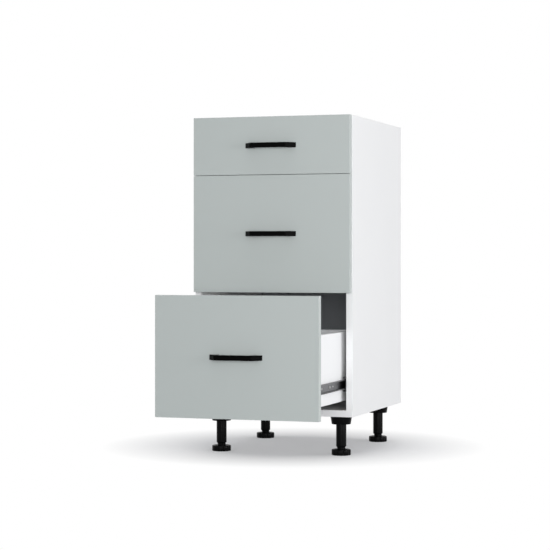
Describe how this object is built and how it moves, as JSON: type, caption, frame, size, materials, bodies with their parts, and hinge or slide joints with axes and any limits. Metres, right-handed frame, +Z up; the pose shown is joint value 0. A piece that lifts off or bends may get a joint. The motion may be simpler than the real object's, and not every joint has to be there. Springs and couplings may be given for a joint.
{
  "type": "base cabinet with drawers",
  "caption": "Narrow kitchen base cabinet: white board carcass on adjustable legs, sage slab drawer fronts with black bridge handles, board drawer boxes on ball-bearing slides.",
  "frame": {"origin": "on the floor, under the middle of the bounding box as the cabinet stands with its bottom drawer pulled out", "axes": "+Z up, +X to the right of someone facing the fronts, +Y to the rear; drawers open towards -Y"},
  "size_m": [0.4, 0.75, 0.817],
  "materials": {
    "white_board": "smooth white melamine-faced chipboard with edge banding",
    "sage_front": "satin pale grey-green laminate, softly broken edges",
    "back_sheet": "thin fibreboard, white face inside, raw brown face outside",
    "bottom_sheet": "thin fibreboard, white on both faces",
    "handle_black": "black powder coat, satin",
    "slide_steel": "zinc-plated rolled steel",
    "cage_steel": "zinc-plated cage sheet with bright balls",
    "black_plastic": "black moulded plastic, satin"
  },
  "bodies": {
    "carcass": {"side_panel_left": "white_board", "side_panel_right": "white_board", "bottom_panel": "white_board", "top_rail_front": "white_board", "top_rail_rear": "white_board", "back_panel": "back_sheet", "leg_socket_front_left": "black_plastic", "leg_tube_front_left": "black_plastic", "leg_socket_front_right": "black_plastic", "leg_tube_front_right": "black_plastic", "leg_socket_rear_left": "black_plastic", "leg_tube_rear_left": "black_plastic", "leg_socket_rear_right": "black_plastic", "leg_tube_rear_right": "black_plastic", "top_slide_cabinet_member_left": "slide_steel", "top_slide_cabinet_member_right": "slide_steel", "middle_slide_cabinet_member_left": "slide_steel", "middle_slide_cabinet_member_right": "slide_steel", "bottom_slide_cabinet_member_left": "slide_steel", "bottom_slide_cabinet_member_right": "slide_steel"},
    "foot_front_left": {"leg_foot_front_left": "black_plastic"},
    "foot_front_right": {"leg_foot_front_right": "black_plastic"},
    "foot_rear_left": {"leg_foot_rear_left": "black_plastic"},
    "foot_rear_right": {"leg_foot_rear_right": "black_plastic"},
    "top_drawer": {"top_drawer_front": "sage_front", "top_drawer_handle": "handle_black", "top_drawer_side_left": "white_board", "top_drawer_side_right": "white_board", "top_drawer_box_front": "white_board", "top_drawer_box_back": "white_board", "top_drawer_bottom": "bottom_sheet", "top_slide_drawer_member_left": "slide_steel", "top_slide_drawer_member_right": "slide_steel"},
    "top_cage_left": {"top_slide_ball_cage_left": "cage_steel"},
    "top_cage_right": {"top_slide_ball_cage_right": "cage_steel"},
    "middle_drawer": {"middle_drawer_front": "sage_front", "middle_drawer_handle": "handle_black", "middle_drawer_side_left": "white_board", "middle_drawer_side_right": "white_board", "middle_drawer_box_front": "white_board", "middle_drawer_box_back": "white_board", "middle_drawer_bottom": "bottom_sheet", "middle_slide_drawer_member_left": "slide_steel", "middle_slide_drawer_member_right": "slide_steel"},
    "middle_cage_left": {"middle_slide_ball_cage_left": "cage_steel"},
    "middle_cage_right": {"middle_slide_ball_cage_right": "cage_steel"},
    "bottom_drawer": {"bottom_drawer_front": "sage_front", "bottom_drawer_handle": "handle_black", "bottom_drawer_side_left": "white_board", "bottom_drawer_side_right": "white_board", "bottom_drawer_box_front": "white_board", "bottom_drawer_box_back": "white_board", "bottom_drawer_bottom": "bottom_sheet", "bottom_slide_drawer_member_left": "slide_steel", "bottom_slide_drawer_member_right": "slide_steel"},
    "bottom_cage_left": {"bottom_slide_ball_cage_left": "cage_steel"},
    "bottom_cage_right": {"bottom_slide_ball_cage_right": "cage_steel"}
  },
  "joints": [
    {"name": "top_drawer_slide", "type": "slide", "parent": "carcass", "child": "top_drawer", "axis": [0, -1, 0], "range_m": [0, 0.3]},
    {"name": "middle_drawer_slide", "type": "slide", "parent": "carcass", "child": "middle_drawer", "axis": [0, -1, 0], "range_m": [0, 0.3]},
    {"name": "bottom_drawer_slide", "type": "slide", "parent": "carcass", "child": "bottom_drawer", "axis": [0, -1, 0], "range_m": [-0.248, 0.052]},
    {"name": "top_cage_left_roll", "type": "slide", "parent": "carcass", "child": "top_cage_left", "axis": [0, -1, 0], "range_m": [0, 0.15]},
    {"name": "top_cage_right_roll", "type": "slide", "parent": "carcass", "child": "top_cage_right", "axis": [0, -1, 0], "range_m": [0, 0.15]},
    {"name": "middle_cage_left_roll", "type": "slide", "parent": "carcass", "child": "middle_cage_left", "axis": [0, -1, 0], "range_m": [0, 0.15]},
    {"name": "middle_cage_right_roll", "type": "slide", "parent": "carcass", "child": "middle_cage_right", "axis": [0, -1, 0], "range_m": [0, 0.15]},
    {"name": "bottom_cage_left_roll", "type": "slide", "parent": "carcass", "child": "bottom_cage_left", "axis": [0, -1, 0], "range_m": [-0.124, 0.026]},
    {"name": "bottom_cage_right_roll", "type": "slide", "parent": "carcass", "child": "bottom_cage_right", "axis": [0, -1, 0], "range_m": [-0.124, 0.026]},
    {"name": "foot_front_left_screw", "type": "slide", "parent": "carcass", "child": "foot_front_left", "axis": [0, 0, -1], "range_m": [-0.003, 0.02]},
    {"name": "foot_front_right_screw", "type": "slide", "parent": "carcass", "child": "foot_front_right", "axis": [0, 0, -1], "range_m": [-0.003, 0.02]},
    {"name": "foot_rear_left_screw", "type": "slide", "parent": "carcass", "child": "foot_rear_left", "axis": [0, 0, -1], "range_m": [-0.003, 0.02]},
    {"name": "foot_rear_right_screw", "type": "slide", "parent": "carcass", "child": "foot_rear_right", "axis": [0, 0, -1], "range_m": [-0.003, 0.02]}
  ],
  "couplings": [
    {"joint": "top_cage_left_roll", "follows": "top_drawer_slide", "ratio": 0.5},
    {"joint": "top_cage_right_roll", "follows": "top_drawer_slide", "ratio": 0.5},
    {"joint": "middle_cage_left_roll", "follows": "middle_drawer_slide", "ratio": 0.5},
    {"joint": "middle_cage_right_roll", "follows": "middle_drawer_slide", "ratio": 0.5},
    {"joint": "bottom_cage_left_roll", "follows": "bottom_drawer_slide", "ratio": 0.5},
    {"joint": "bottom_cage_right_roll", "follows": "bottom_drawer_slide", "ratio": 0.5}
  ]
}
